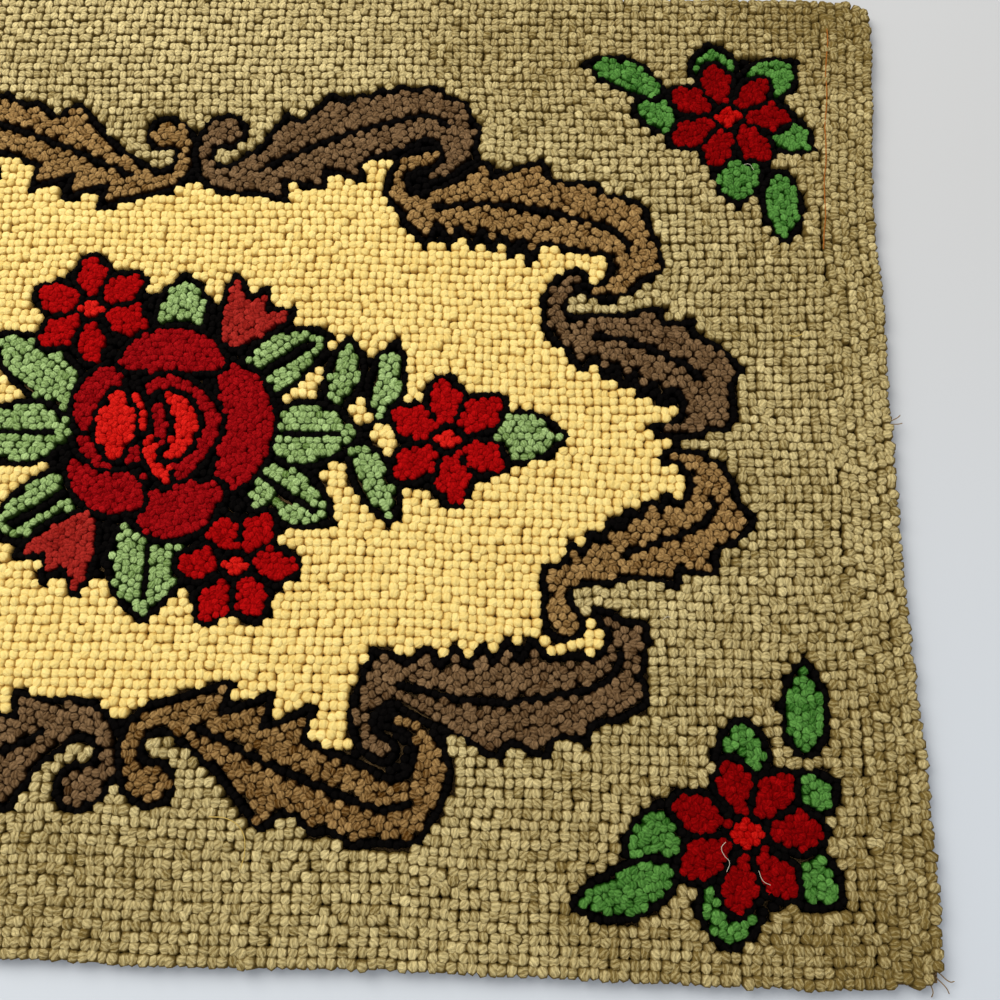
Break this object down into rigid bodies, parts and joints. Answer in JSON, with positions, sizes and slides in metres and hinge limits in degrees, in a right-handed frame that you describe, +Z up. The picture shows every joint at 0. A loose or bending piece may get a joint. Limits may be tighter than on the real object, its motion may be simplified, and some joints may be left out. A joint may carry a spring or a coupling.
{
  "type": "hooked rug",
  "caption": "Flat oblong hooked rug of yarn loops on a foundation cloth, with a rose bouquet in a scroll-framed medallion and a flower spray in each corner.",
  "frame": {"origin": "centre of the rug's bounding box, on the floor plane under it", "axes": "+X along the long side, +Y along the short side, +Z up out of the pile"},
  "size_m": [0.9022, 0.6228, 0.01],
  "materials": {
    "field_yarn": "matte wool loops, sage khaki",
    "ground_yarn": "matte wool loops, cream yellow",
    "outline_yarn": "matte wool loops, black",
    "scroll_dark_yarn": "matte wool loops, dark brown",
    "scroll_tan_yarn": "matte wool loops, tan brown",
    "rose_yarn": "fine wool loops, crimson",
    "heart_yarn": "fine wool loops, bright red",
    "bud_yarn": "fine wool loops, brick red",
    "leaf_yarn": "matte wool loops, light green",
    "foundation": "plain-woven burlap"
  },
  "bodies": {
    "root": {"hooked_rug": "field_yarn"}
  },
  "joints": []
}
